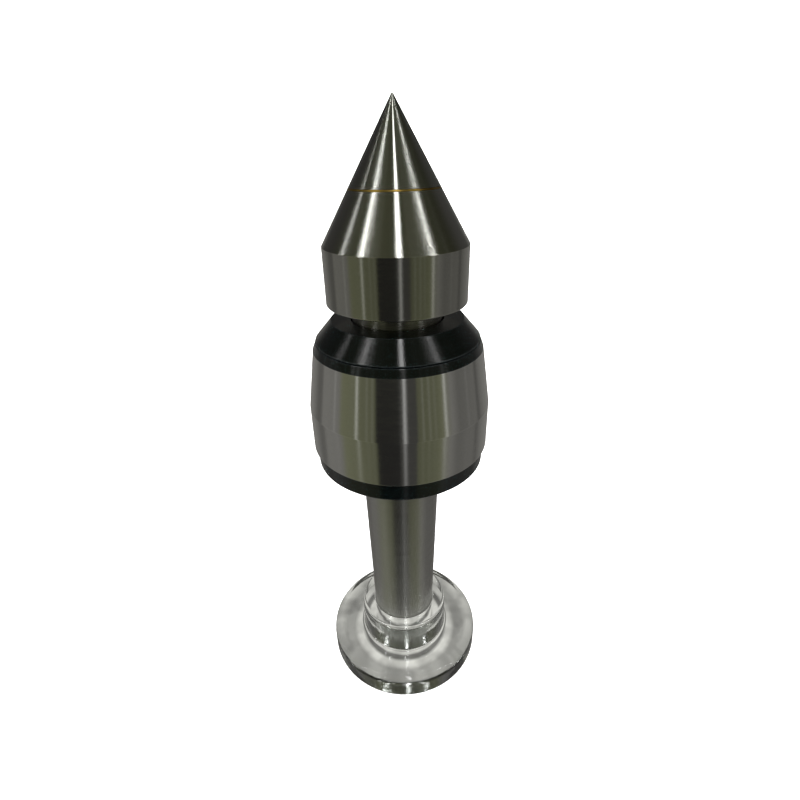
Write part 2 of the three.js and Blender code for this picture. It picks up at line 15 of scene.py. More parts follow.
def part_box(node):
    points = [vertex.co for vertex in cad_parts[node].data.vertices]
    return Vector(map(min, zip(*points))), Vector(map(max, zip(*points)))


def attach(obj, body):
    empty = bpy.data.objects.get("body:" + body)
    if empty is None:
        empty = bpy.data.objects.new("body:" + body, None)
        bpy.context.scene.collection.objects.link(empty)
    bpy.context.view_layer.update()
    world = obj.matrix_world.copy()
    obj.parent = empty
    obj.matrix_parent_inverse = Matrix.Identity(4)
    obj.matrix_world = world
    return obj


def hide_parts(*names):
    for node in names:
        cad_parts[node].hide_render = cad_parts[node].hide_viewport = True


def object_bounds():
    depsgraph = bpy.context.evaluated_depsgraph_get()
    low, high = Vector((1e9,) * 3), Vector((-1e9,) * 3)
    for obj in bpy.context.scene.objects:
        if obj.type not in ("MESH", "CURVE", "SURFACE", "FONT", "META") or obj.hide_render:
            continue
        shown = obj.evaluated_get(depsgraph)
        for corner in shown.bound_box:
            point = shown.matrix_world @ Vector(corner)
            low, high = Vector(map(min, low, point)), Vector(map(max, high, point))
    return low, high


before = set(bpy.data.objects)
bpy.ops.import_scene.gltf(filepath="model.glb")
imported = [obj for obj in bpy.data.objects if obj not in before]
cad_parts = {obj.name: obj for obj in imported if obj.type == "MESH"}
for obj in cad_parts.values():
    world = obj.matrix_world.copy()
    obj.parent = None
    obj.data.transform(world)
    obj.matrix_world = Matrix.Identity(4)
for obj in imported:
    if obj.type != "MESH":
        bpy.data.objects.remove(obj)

CAD_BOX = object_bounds()

bl_info = {
    "name": "Live Center",
    "version": (1, 0, 0),
    "blender": (4, 5, 0),
    "location": "View3D > Sidebar > Live Center",
    "description": "Builds a live center from turned, ground and brazed pieces",
    "category": "Object",
}

MM = 0.001


# ---- measures from the frame

def span(node):
    """Lowest point, highest point and largest radius round the axis of a CAD node, in mm."""
    lowest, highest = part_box(node)
    return lowest[2] / MM, highest[2] / MM, highest[0] / MM


def low(node):
    """Height of a CAD node's lowest point, in mm."""
    return span(node)[0]


def high(node):
    """Height of a CAD node's highest point, in mm."""
    return span(node)[1]


def reach(node):
    """Largest radius of a CAD node round the spindle axis, in mm."""
    return span(node)[2]


def linear(code):
    """Linear red, green and blue of an sRGB hex colour such as '#8a8b84'."""
    parts = [int(code[i:i + 2], 16) / 255 for i in (1, 3, 5)]
    return tuple(c / 12.92 if c <= 0.04045 else ((c + 0.055) / 1.055) ** 2.4 for c in parts)


# ---- sizes and colours

def length(name, description, default_mm):
    """A length property in metres whose default is given in mm."""
    return FloatProperty(name=name, description=description, default=default_mm * MM,
                         min=0.0, precision=5, unit="LENGTH", subtype="DISTANCE")


def colour(name, description, code):
    """A colour property whose default is an sRGB hex colour."""
    return FloatVectorProperty(name=name, description=description, default=linear(code),
                               size=3, min=0.0, max=1.0, subtype="COLOR")


class LiveCenterSizes(bpy.types.PropertyGroup):
    """Sizes that the CAD boxes don't give."""

    segments: IntProperty(name="Segments", description="Facets round the axis",
                          default=240, min=24, max=720)
    edge: length("Edge round", "Radius of a broken edge", 0.2)
    head_height: length("Head height", "Height of the head's cylinder", 19.0)
    neck_radius: length("Neck radius", "Radius of the spindle's neck", 15.8)
    neck_length: length("Neck length", "Shoulder of the bearing to the head", 19.5)
    journal_radius: length("Journal radius", "Radius under the front bearing", 12.2)
    band_height: length("Band height", "Height of the blackened rear band", 7.4)
    band_inset: length("Band inset", "How far the rear band is inside the body", 1.3)
    ground_height: length("Ground height", "Height of the body's ground cylinder", 16.8)
    taper_drop: length("Taper drop", "How far the front taper draws in", 3.1)
    lip_height: length("Lip height", "Height of the blackened front lip", 2.8)
    lip_drop: length("Lip drop", "How far the front lip draws in", 1.1)
    hub_radius: length("Hub radius", "Radius of the foot's hub", 19.5)
    disc_height: length("Disc height", "Height of the foot's disc", 10.8)
    disc_round: length("Disc round", "Radius of the foot's upper rim", 3.2)


class LiveCenterFinishes(bpy.types.PropertyGroup):
    """Colours of the real materials and how coarse their marks are."""

    steel: colour("Body steel", "Ground tool steel of the housing", "#c4c4c1")
    head: colour("Head steel", "Ground tool steel of the spindle", "#a6a6a0")
    shank: colour("Shank steel", "Finely ground taper shank", "#bdbdbb")
    carbide: colour("Carbide", "Ground cemented carbide", "#9a9b95")
    braze: colour("Braze", "Brass braze", "#a98d4a")
    oxide: colour("Black oxide", "Blackened and oiled steel", "#020505")
    rubber: colour("Nitrile rubber", "Moulded seal rubber", "#070808")
    bearing: colour("Bearing steel", "Lapped chrome steel", "#d5d7da")
    brass: colour("Cage brass", "Machined brass", "#c9a050")
    acrylic: colour("Clear acrylic", "Cast and polished acrylic", "#f1f4f2")
    mark_pitch: length("Grinding mark", "Spacing of the grinding marks along the axis", 0.3)
    mark_run: length("Mark length", "Length of one grinding mark round the part", 5.0)
    turning_pitch: length("Turning mark", "Spacing of the turning marks on blackened faces", 0.45)


def sizes():
    """The size settings of this scene."""
    return bpy.context.scene.live_center_sizes


def finishes():
    """The finish settings of this scene."""
    return bpy.context.scene.live_center_finishes


# ---- turned shapes

ARC_STEPS = 4       # facets in one rounded corner
SUPPORT = 0.12      # mm from a rounded corner to the ring of points that keeps its face true
# Broken edges carry edge wear and a painted highlight; this point attribute marks them.
WEAR_AND_HIGHLIGHT_ATTRIBUTE = "edge_wear"  # point attribute: 1 on broken edges, 0 on faces
WELD = 1e-7         # m between two points that a cut leaves and that are one


def corner(before, here, after, radius):
    """Points of a rounded corner, first to last, or the corner itself if it is straight."""
    a, p, b = Vector(before), Vector(here), Vector(after)
    back, ahead = a - p, b - p
    turn = math.pi - back.angle(ahead)
    if radius <= 0 or turn < math.radians(2):
        return [tuple(p)], False
    cut = min(radius * math.tan(turn / 2), 0.4 * back.length, 0.4 * ahead.length)
    radius = cut / math.tan(turn / 2)
    start, end = p + back.normalized() * cut, p + ahead.normalized() * cut
    centre = p + (back.normalized() + ahead.normalized()).normalized() * (
        math.hypot(radius, cut))
    points = []
    for i in range(ARC_STEPS + 1):
        share = i / ARC_STEPS
        spoke = (start - centre).lerp(end - centre, share)
        points.append(tuple(centre + spoke.normalized() * radius))
    return points, True


def outline_points(outline, closed):
    """Every point of a turned outline as (radius, height, edge wear and painted highlight,
    finish).

    Each outline corner is (radius, height, edge round, finish of the face that follows)."""
    count = len(outline)
    made = []
    for i, (r, z, radius, finish) in enumerate(outline):
        if not closed and i in (0, count - 1):
            made.append((r, z, 0.0, finish))
            continue
        before, after = outline[i - 1], outline[(i + 1) % count]
        points, is_round = corner(before[:2], (r, z), after[:2], radius)
        if not is_round:
            made.append((r, z, 0.0, finish))
            continue
        first, last = Vector(points[0]), Vector(points[-1])
        lead = Vector(before[:2]) - first
        trail = Vector(after[:2]) - last
        if lead.length > 3 * SUPPORT:
            made.append((*(first + lead.normalized() * SUPPORT), 0.0, before[3]))
        made.extend((pr, pz, 1.0, finish) for pr, pz in points)
        if trail.length > 3 * SUPPORT:
            made.append((*(last + trail.normalized() * SUPPORT), 0.0, finish))
    return made


def turned(name, outline, materials, closed=True, segments=None):
    """A mesh object turned from an outline that runs up its outer side."""
    segments = segments or sizes().segments
    area = sum(a[0] * b[1] - b[0] * a[1]
               for a, b in zip(outline, outline[1:] + outline[:1]))
    if area < 0 and closed:
        outline = outline[::-1]
    points = outline_points(outline, closed)
    names = sorted({finish for *_, finish in points}, key=list(materials).index)
    rings, vertices, wear = [], [], []
    for r, z, worn_and_highlit, _ in points:
        if r < 1e-6:
            rings.append([len(vertices)] * segments)
            vertices.append((0.0, 0.0, z * MM))
            wear.append(worn_and_highlit)
            continue
        rings.append(range(len(vertices), len(vertices) + segments))
        for k in range(segments):
            angle = 2 * math.pi * k / segments
            vertices.append((r * MM * math.cos(angle), r * MM * math.sin(angle), z * MM))
            wear.append(worn_and_highlit)
    faces, slots = [], []
    pairs = list(zip(range(len(rings)), range(1, len(rings))))
    if closed:
        pairs.append((len(rings) - 1, 0))
    for a, b in pairs:
        for k in range(segments):
            n = (k + 1) % segments
            ids = (rings[a][k], rings[a][n], rings[b][n], rings[b][k])
            face = tuple(dict.fromkeys(ids))
            if len(face) > 2:
                faces.append(face)
                slots.append(names.index(points[a][3]))
    return mesh_object(name, vertices, faces, [materials[n] for n in names], slots, wear)


def mesh_object(name, vertices, faces, materials, slots=None, wear=None):
    """A smooth-shaded mesh object in the scene, sharp only where faces really turn."""
    mesh = bpy.data.meshes.new(name)
    mesh.from_pydata(vertices, [], faces)
    for material in materials:
        mesh.materials.append(material)
    if slots:
        mesh.polygons.foreach_set("material_index", slots)
    worn_and_highlit = mesh.attributes.new(WEAR_AND_HIGHLIGHT_ATTRIBUTE, "FLOAT", "POINT")
    worn_and_highlit.data.foreach_set("value", wear or [0.0] * len(vertices))
    mesh.shade_smooth()
    mesh.set_sharp_from_angle(angle=math.radians(40))
    mesh.validate()
    mesh.update()
    piece = bpy.data.objects.new(name, mesh)
    bpy.context.scene.collection.objects.link(piece)
    return piece


def fit(piece, body, slot, *nodes):
    """Rides a piece on its body in place of its CAD nodes; its slot is not used."""
    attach(piece, body)
    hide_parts(*nodes)


def cut_away(piece, cutters):
    """Cuts closed meshes out of a piece, cleans up the slivers that leaves and removes them."""
    for cutter in cutters:
        step = piece.modifiers.new("cut", "BOOLEAN")
        step.operation, step.solver, step.object = "DIFFERENCE", "EXACT", cutter
    apply_modifiers(piece)
    shape = bmesh.new()
    shape.from_mesh(piece.data)
    bmesh.ops.remove_doubles(shape, verts=shape.verts, dist=WELD)
    bmesh.ops.dissolve_degenerate(shape, edges=shape.edges, dist=WELD)
    bmesh.ops.holes_fill(shape, edges=[e for e in shape.edges if e.is_boundary], sides=6)
    shape.to_mesh(piece.data)
    shape.free()
    for cutter in cutters:
        mesh = cutter.data
        bpy.data.objects.remove(cutter)
        bpy.data.meshes.remove(mesh)


def apply_modifiers(piece):
    """Turns a piece's modifiers into its mesh."""
    graph = bpy.context.evaluated_depsgraph_get()
    graph.update()
    plain, made = piece.data, bpy.data.meshes.new_from_object(piece.evaluated_get(graph))
    made.name = piece.name
    piece.modifiers.clear()
    piece.data = made
    bpy.data.meshes.remove(plain)


# ---- materials

def add(tree, kind, settings=None, inputs=None, stops=None):
    """Adds one node with its settings, its linked or plain inputs and any ramp stops."""
    node = tree.nodes.new(kind)
    for key, value in (settings or {}).items():
        setattr(node, key, value)
    for key, value in (inputs or {}).items():
        if isinstance(value, bpy.types.NodeSocket):
            tree.links.new(value, node.inputs[key])
        else:
            node.inputs[key].default_value = value
    if stops:
        elements = node.color_ramp.elements
        elements.remove(elements[-1])
        for i, (place, value) in enumerate(stops):
            stop = elements[0] if i == 0 else elements.new(place)
            stop.position = place
            stop.color = (*value, 1.0) if isinstance(value, tuple) else (value, value, value, 1.0)
    return node


def new_material(name):
    """A node material with no nodes yet, and its node tree."""
    made = bpy.data.materials.new(name)
    made.use_nodes = True
    made.node_tree.nodes.clear()
    return made, made.node_tree


def marks(tree, pitch, run, detail=3.0):
    """Noise drawn out round the spindle axis: marks of a pitch along it and a length round it."""
    place = add(tree, "ShaderNodeTexCoord").outputs["Object"]
    squeezed = add(tree, "ShaderNodeMapping", None,
                   {"Vector": place, "Scale": (1 / run, 1 / run, 1 / pitch)})
    return add(tree, "ShaderNodeTexNoise", None,
               {"Vector": squeezed.outputs["Vector"], "Scale": 1.0, "Detail": detail,
                "Roughness": 0.6}).outputs["Fac"]


def blotches(tree, size):
    """Slow unevenness of a surface, of a size in metres."""
    place = add(tree, "ShaderNodeTexCoord").outputs["Object"]
    return add(tree, "ShaderNodeTexNoise", None,
               {"Vector": place, "Scale": 1 / size, "Detail": 2.0}).outputs["Fac"]


def worn_and_highlit(tree, base, edge, amount):
    """A colour that turns towards another on broken edges: edge wear and a painted edge highlight.
    """
    mask = add(tree, "ShaderNodeAttribute", {"attribute_name": WEAR_AND_HIGHLIGHT_ATTRIBUTE}).outputs["Fac"]
    part = add(tree, "ShaderNodeMath", {"operation": "MULTIPLY"}, {0: mask, 1: amount})
    return add(tree, "ShaderNodeMix", {"data_type": "RGBA"},
               {0: part.outputs[0], 6: base, 7: edge}).outputs[2]


NOISE_LOW, NOISE_HIGH = 0.25, 0.75   # the values that nearly all of a noise lies between


def uneven(tree, tone, base, dark, polish, smooth, rough):
    """A colour that drops to a share of itself with one noise, and a roughness that rises
    with another."""
    colour_ramp = add(tree, "ShaderNodeValToRGB", None, {"Fac": tone},
                      stops=[(NOISE_LOW, tuple(c * dark for c in base)),
                             (NOISE_HIGH, tuple(base))])
    range_of = add(tree, "ShaderNodeMapRange", None,
                   {"Value": polish, "From Min": NOISE_LOW, "From Max": NOISE_HIGH,
                    "To Min": smooth, "To Max": rough})
    return colour_ramp.outputs["Color"], range_of.outputs["Result"]


SCORE_PITCH, SCORE_RUN = 2.6, 5   # a score against a mark, along the axis and round it
EDGE_HIGHLIGHT_BRIGHTER = 1.18            # painted highlight: broken edges brighter than the faces
ROUND_THE_AXIS = 0.25             # quarter turn, so that lamps draw out along the axis


# Metals that are ground or turned round their axis. Real grinding marks are near 0.02 mm
# apart, and they are drawn coarser here so they show. Columns: colour, roughness, how far
# it draws out what it mirrors, the setting for its mark pitch, shares of that pitch and of
# the mark length, depth of a mark in mm, share of the colour left in a mark, and how much
# rougher a score is.
GROUND_METALS = {
    # Hardened tool steel, ground between centres: a warm grey metal whose marks run round it.
    "ground_tool_steel": ("steel", 0.13, 1.0, "mark_pitch", 0.8, 0.2, 0.007, 0.9, 1.3),
    # The spindle's hardened steel, ground brighter than the housing, so what it mirrors is
    # sharper and its dark parts are darker.
    "ground_spindle_steel": ("head", 0.13, 1.0, "mark_pitch", 0.8, 0.16, 0.010, 0.88, 1.4),
    # The spindle's cone, ground across a narrow wheel on a set-over head: its short marks lie
    # at slightly different angles, so a lamp's streak breaks up into sparkles at its sides.
    "ground_cone_steel": ("head", 0.13, 1.0, "mark_pitch", 0.8, 0.1, 0.015, 0.86, 1.4),
    # The neck, ground where the seal runs: its marks spread what it mirrors along its height.
    "fine_ground_neck_steel": ("head", 0.3, 1.0, "mark_pitch", 1, 1, 0.004, 0.9, 1.3),
    # The taper shank, ground finer than the body: an even, satin grey with no sparkle.
    "fine_ground_shank_steel": ("shank", 0.36, 0.85, "mark_pitch", 1, 2, 0.006, 0.95, 1.3),
    # Tungsten carbide in cobalt, diamond ground: darker and smoother than the steel below it.
    "ground_cemented_carbide": ("carbide", 0.2, 0.95, "mark_pitch", 1, 0.2, 0.002, 0.95, 1.15),
    # Brass braze ground flush with the cone: a thin golden line, soft, so a little uneven.
    "brass_braze": ("braze", 0.34, 0.6, "mark_pitch", 1, 0.6, 0.006, 0.7, 1.3),
    # Chrome bearing steel, lapped: bright and nearly mirror smooth, with faint running marks.
    "lapped_bearing_steel": ("bearing", 0.14, 0.3, "mark_pitch", 1, 3, 0.001, 0.95, 1.3),
    # Brass cage, turned and milled: yellow metal with visible turning marks.
    "machined_cage_brass": ("brass", 0.32, 0.5, "turning_pitch", 1, 3, 0.006, 0.85, 1.3),
}


def ground_metal(name, tint, roughness, stretch, spacing, pitch, run, depth, shade, scoring):
    """Metal whose marks run round its axis, so lamps draw out along the axis."""
    f = finishes()
    base, pitch, run = getattr(f, tint), getattr(f, spacing) * pitch, f.mark_run * run
    made, tree = new_material(name)
    fine = marks(tree, pitch, run)
    scored = marks(tree, SCORE_PITCH * pitch, SCORE_RUN * run, 1.0)
    round_axis = add(tree, "ShaderNodeTangent", {"direction_type": "RADIAL", "axis": "Z"})
    bump = add(tree, "ShaderNodeBump", None,
               {"Distance": depth * MM, "Height": fine})
    tone, polish = uneven(tree, fine, base, shade, scored, roughness * 0.8, roughness * scoring)
    # Painted highlight: broken edges are painted brighter than the faces.
    bright = tuple(min(1.0, c * EDGE_HIGHLIGHT_BRIGHTER) for c in base)
    face = add(tree, "ShaderNodeBsdfPrincipled", None, {
        "Base Color": worn_and_highlit(tree, tone, (*bright, 1.0), 0.8),
        "Metallic": 1.0,
        "Roughness": polish,
        "Anisotropic": stretch,
        "Anisotropic Rotation": ROUND_THE_AXIS,
        "Tangent": round_axis.outputs["Tangent"],
        "Normal": bump.outputs["Normal"],
    })
    add(tree, "ShaderNodeOutputMaterial", None, {"Surface": face.outputs["BSDF"]})
    return made


def black_oxide_steel():
    """Turned steel, blackened in a hot salt bath and oiled: near black, with the sheen of
    the oil over the turning marks, and lighter edges, partly rubbed bare steel and partly a
    painted highlight."""
    f = finishes()
    made, tree = new_material("black_oxide_steel")
    fine = marks(tree, f.turning_pitch, f.mark_run)
    grain = blotches(tree, 0.35 * MM)
    tone, polish = uneven(tree, grain, f.oxide, 0.6, grain, 0.10, 0.20)
    round_axis = add(tree, "ShaderNodeTangent", {"direction_type": "RADIAL", "axis": "Z"})
    rough_face = add(tree, "ShaderNodeBump", None,
                     {"Distance": 0.010 * MM, "Height": grain})
    bump = add(tree, "ShaderNodeBump", None,
               {"Distance": 0.006 * MM, "Height": fine,
                "Normal": rough_face.outputs["Normal"]})
    face = add(tree, "ShaderNodeBsdfPrincipled", None, {
        # Broken edges painted lighter: partly bare steel where rubbed, partly a painted highlight.
        "Base Color": worn_and_highlit(tree, tone, (*linear("#23292b"), 1.0), 0.3),
        "Roughness": polish,
        "IOR": 1.5,
        "Anisotropic": 1.0,
        "Anisotropic Rotation": ROUND_THE_AXIS,
        "Tangent": round_axis.outputs["Tangent"],
        "Normal": bump.outputs["Normal"],
    })
    add(tree, "ShaderNodeOutputMaterial", None, {"Surface": face.outputs["BSDF"]})
    return made


def moulded_nitrile_rubber():
    """Nitrile seal rubber from a steel mould: dull black with a fine grain."""
    made, tree = new_material("moulded_nitrile_rubber")
    grain = blotches(tree, 0.5 * MM)
    tone, polish = uneven(tree, grain, finishes().rubber, 0.6, grain, 0.5, 0.65)
    bump = add(tree, "ShaderNodeBump", None,
               {"Distance": 0.02 * MM, "Height": grain})
    face = add(tree, "ShaderNodeBsdfPrincipled", None, {
        "Base Color": tone,
        "Roughness": polish,
        "IOR": 1.52,
        "Normal": bump.outputs["Normal"],
    })
    add(tree, "ShaderNodeOutputMaterial", None, {"Surface": face.outputs["BSDF"]})
    return made


def polished_cast_acrylic():
    """Cast acrylic, turned and flame polished: clear, with the slow waviness that polishing
    leaves."""
    made, tree = new_material("polished_cast_acrylic")
    wave = blotches(tree, 7 * MM)
    tone, polish = uneven(tree, wave, finishes().acrylic, 0.96, wave, 0.04, 0.09)
    bump = add(tree, "ShaderNodeBump", None,
               {"Distance": 0.12 * MM, "Height": wave})
    round_axis = add(tree, "ShaderNodeTangent", {"direction_type": "RADIAL", "axis": "Z"})
    face = add(tree, "ShaderNodeBsdfPrincipled", None, {
        "Base Color": tone,
        "Roughness": polish,
        "IOR": 1.49,
        "Transmission Weight": 1.0,
        "Anisotropic": 0.95,
        "Anisotropic Rotation": ROUND_THE_AXIS,
        "Tangent": round_axis.outputs["Tangent"],
        "Normal": bump.outputs["Normal"],
    })
    add(tree, "ShaderNodeOutputMaterial", None, {"Surface": face.outputs["BSDF"]})
    return made


def finish_for(name):
    """The material of that name, made the first time it is asked for."""
    made = bpy.data.materials.get(name)
    if made:
        return made
    if name in GROUND_METALS:
        return ground_metal(name, *GROUND_METALS[name])
    makers = (black_oxide_steel, moulded_nitrile_rubber, polished_cast_acrylic)
    return {m.__name__: m for m in makers}[name]()


def plain(name, finish, outline, **options):
    """A mesh object turned from (radius, height, edge round) corners, all in one finish."""
    return turned(name, [(*point, finish) for point in outline],
                  {finish: finish_for(finish)}, **options)


# ---- Morse taper

GAUGE_DIAMETER = 31.267     # Morse taper No. 4, at its gauge plane
GAUGE_STANDOFF = 6.5        # from the collar's rear face down to the gauge plane
TAPER_PER_MM = 1 / 19.254   # on diameter
SHANK_LENGTH = 104.5
SLIP = 0.3                  # gap between pieces that sit in or turn past each other
POINT_SLOPE = math.tan(math.radians(30))   # radius lost per height on the 60 degree point

# Radii and heights in mm inside the housing, from its mouth down to its centre hole.
THREAD, SEAT, NUT_BORE, THRUST_BORE, MIDDLE_BORE, CUP_BORE = 27.3, 26.3, 22.8, 21.3, 11.1, 9.4
THRUST_BORE_TOP, CUP_BORE_TOP, CUP_BORE_FLOOR = 121.9, 96.0, 76.5
CENTRE_MOUTH, CENTRE_DRILL, CENTRE_DEPTH, DRILL_DEPTH = 5.0, 2.0, 5.2, 8.2
# The cap: how far its cone runs in to its flat top, then its skirt, groove, bore and rim.
CAP_FLARE, SKIRT, SKIRT_BORE, CAP_BORE, CAP_STEP, CAP_RIM = 5.9, 27.0, 22.5, 16.4, 4.0, 0.4
GROOVE_FLOOR, GROOVE_HALF = 25.2, 1.05
# The spindle: its tail and shaft with their tops, and the hole that holds the point's stub.
TAIL, TAIL_TOP, SHAFT, SHAFT_TOP = 6.0, 98.0, 10.5, 123.5
TIP_HOLE, TIP_GAP, STUB, TIP_FLAT = 8.65, 0.65, 8.0, 0.25
BRAZE_BORE, BRAZE_THICKNESS = 8.1, 0.45
LOCK_NUT, NUT_THREAD, NUT_SLOT = 19.0, 12.5, 5.0


def collar_z():
    """Height of the collar's rear face."""
    return low("housing") + SHANK_LENGTH


def shank_radius(z):
    """Radius of the taper shank at a height."""
    return (GAUGE_DIAMETER + (z - (collar_z() - GAUGE_STANDOFF)) * TAPER_PER_MM) / 2


# ---- operators

class LIVECENTER_OT_clear_foot(bpy.types.Operator):
    """Turn the clear acrylic foot that the shank stands in"""

    bl_idname = "live_center.clear_foot"
    bl_label = "Clear foot"

    def execute(self, context):
        s = sizes()
        rim, top = reach("clear_foot"), high("clear_foot")
        hub, disc = s.hub_radius / MM, s.disc_height / MM
        piece = plain("foot_clear", "polished_cast_acrylic", [
            (shank_radius(0) + SLIP, 0.0, 0.3), (rim, 0.0, 1.4),
            (rim, disc, s.disc_round / MM), (hub + 0.3, disc, 1.2),
            (hub, top, 1.2), (shank_radius(top) + SLIP, top, 0.3),
        ])
        fit(piece, "foot", "clear_acrylic", "clear_foot")
        return {"FINISHED"}


class LIVECENTER_OT_housing(bpy.types.Operator):
    """Turn the housing with its ground body, blackened bands and taper shank"""

    bl_idname = "live_center.housing"
    bl_label = "Housing and shank"

    def execute(self, context):
        s = sizes()
        steel, shank, black = ("ground_tool_steel", "fine_ground_shank_steel",
                               "black_oxide_steel")
        edge, body = s.edge / MM, reach("housing")
        end, collar, front = low("housing"), collar_z(), high("housing")
        band, ground = body - s.band_inset / MM, collar + s.band_height / MM + 0.4
        taper = body - s.taper_drop / MM
        floor = low("preload_shim") - SLIP
        bearing, bearing_top = low("front_bearing_outer_ring"), high("front_bearing_outer_ring")
        piece = turned("housing_body", [
            (0.0, end + DRILL_DEPTH, 0.0, shank), (CENTRE_DRILL, end + DRILL_DEPTH, 0.1, shank),
            (CENTRE_DRILL, end + CENTRE_DEPTH, 0.1, shank), (CENTRE_MOUTH, end, 0.2, shank),
            (shank_radius(end) - 0.8, end, 0.2, shank),
            (shank_radius(end + 0.8), end + 0.8, 0.2, shank),
            (shank_radius(collar), collar, 0.3, black), (band - 1.0, collar, 0.15, black),
            (band, collar + 1.0, 0.15, black), (band, ground - 0.4, 0.1, black),
            (body, ground, edge, steel), (body, ground + s.ground_height / MM, 0.1, steel),
            (taper, front - s.lip_height / MM, edge, black),
            (taper - s.lip_drop / MM, front, edge, black), (THREAD, front, 0.2, black),
            (THREAD, bearing_top, 0.1, shank), (SEAT, bearing_top, 0.2, shank),
            (SEAT, bearing - SLIP, 0.1, shank), (NUT_BORE, bearing - SLIP, 0.2, shank),
            (NUT_BORE, THRUST_BORE_TOP, 0.1, shank), (THRUST_BORE, THRUST_BORE_TOP, 0.2, shank),
            (THRUST_BORE, floor, 0.1, shank), (MIDDLE_BORE, floor, 0.2, shank),
            (MIDDLE_BORE, CUP_BORE_TOP, 0.1, shank), (CUP_BORE, CUP_BORE_TOP, 0.1, shank),
            (CUP_BORE, CUP_BORE_FLOOR, 0.1, shank), (0.0, CUP_BORE_FLOOR, 0.0, shank),
        ], {n: finish_for(n) for n in (steel, shank, black)}, closed=False)
        fit(piece, "housing", "ground_steel", "housing")
        return {"FINISHED"}


class LIVECENTER_OT_front_cap(bpy.types.Operator):
    """Turn the blackened front cap that screws into the housing"""

    bl_idname = "live_center.front_cap"
    bl_label = "Front cap"

    def execute(self, context):
        bottom, top, rim = span("front_cap")
        seat = high("housing") + SLIP
        ring_z = (low("cap_o_ring") + high("cap_o_ring")) / 2
        pocket, web = reach("wiper_seal") + SLIP, high("wiper_seal") + SLIP
        piece = plain("front_cap_shell", "black_oxide_steel", [
            (SKIRT_BORE, bottom, 0.2), (SKIRT, bottom, 0.3),
            (SKIRT, ring_z - GROOVE_HALF, 0.1), (GROOVE_FLOOR, ring_z - GROOVE_HALF, 0.1),
            (GROOVE_FLOOR, ring_z + GROOVE_HALF, 0.1), (SKIRT, ring_z + GROOVE_HALF, 0.1),
            (SKIRT, seat, 0.1), (rim, seat, 0.12),
            (rim, seat + CAP_RIM, 0.12), (rim - CAP_FLARE, top, sizes().edge / MM),
            (CAP_BORE, top, 0.2), (CAP_BORE, web, 0.2),
            (pocket, web, 0.2), (pocket, bottom + CAP_STEP, 0.2),
            (SKIRT_BORE, bottom + CAP_STEP, 0.2),
        ])
        fit(piece, "housing", "black_oxide", "front_cap")
        return {"FINISHED"}


class LIVECENTER_OT_seals(bpy.types.Operator):
    """Mould the wiper seal round the neck and the O-ring on the cap's thread"""

    bl_idname = "live_center.seals"
    bl_label = "Seals"

    def execute(self, context):
        rubber = "moulded_nitrile_rubber"
        bottom, top, outer = span("wiper_seal")
        neck = sizes().neck_radius / MM + SLIP
        piece = plain("wiper_seal_rubber", rubber, [
            (neck + 0.8, bottom, 0.2), (outer, bottom, 0.3),
            (outer, top, 0.3), (outer - 0.9, top, 0.15),
            (outer - 1.2, top - 0.35, 0.15), (neck + 1.3, top - 0.35, 0.15),
            (neck + 0.8, top, 0.15), (neck, top - 0.8, 0.1),
        ])
        fit(piece, "housing", "seal_rubber", "wiper_seal")
        ring_low, ring_high, outer = span("cap_o_ring")
        section = (ring_high - ring_low) / 2
        centre_r, centre_z = outer - section, ring_low + section
        piece = plain("cap_o_ring_rubber", rubber, [
            (centre_r + section * math.cos(a), centre_z + section * math.sin(a), 0.0)
            for a in (2 * math.pi * k / 24 for k in range(24))])
        fit(piece, "housing", "seal_rubber", "cap_o_ring")
        return {"FINISHED"}


class LIVECENTER_OT_spindle(bpy.types.Operator):
    """Turn the steel spindle with its head, neck, journal and tail"""

    bl_idname = "live_center.spindle"
    bl_label = "Spindle"

    def execute(self, context):
        s = sizes()
        steel, cone, ground, shank = ("ground_spindle_steel", "ground_cone_steel",
                                      "fine_ground_neck_steel", "fine_ground_shank_steel")
        edge = s.edge / MM
        tail, top, head = span("spindle")
        neck, journal = s.neck_radius / MM, s.journal_radius / MM
        shoulder = high("front_bearing_inner_ring") + SLIP
        head_z = shoulder + s.neck_length / MM
        cone_z = head_z + s.head_height / MM
        cone_r = head - (top - cone_z) * POINT_SLOPE
        hole_z = low("carbide_tip") - TIP_GAP
        piece = turned("spindle_steel", [
            (0.0, tail, 0.0, shank), (TAIL - 0.6, tail, 0.1, shank),
            (TAIL, tail + 0.6, 0.1, shank), (TAIL, TAIL_TOP, 0.2, shank),
            (SHAFT, TAIL_TOP, 0.3, shank), (SHAFT, SHAFT_TOP, 0.3, shank),
            (journal, SHAFT_TOP, 0.3, shank), (journal, shoulder, 0.1, shank),
            (neck, shoulder, 0.3, ground), (neck, head_z, 0.4, steel),
            (head, head_z, 0.5, steel), (head, cone_z, edge, cone),
            (cone_r, top, 0.05, steel), (TIP_HOLE, top, 0.05, shank),
            (TIP_HOLE, hole_z, 0.2, shank), (0.0, hole_z, 0.0, shank),
        ], {n: finish_for(n) for n in (steel, cone, ground, shank)}, closed=False)
        fit(piece, "spindle", "ground_steel", "spindle")
        return {"FINISHED"}


class LIVECENTER_OT_carbide_tip(bpy.types.Operator):
    """Grind the carbide point"""

    bl_idname = "live_center.carbide_tip"
    bl_label = "Carbide point"

    def execute(self, context):
        bottom, top, wide = span("carbide_tip")
        seat = top - (wide - TIP_FLAT) / POINT_SLOPE
        piece = plain("carbide_point", "ground_cemented_carbide", [
            (0.0, bottom, 0.0), (STUB, bottom, 0.2),
            (STUB, seat, 0.1), (wide, seat, 0.02),
            (TIP_FLAT, top, 0.1), (0.0, top, 0.0),
        ], closed=False)
        fit(piece, "spindle", "carbide", "carbide_tip")
        return {"FINISHED"}


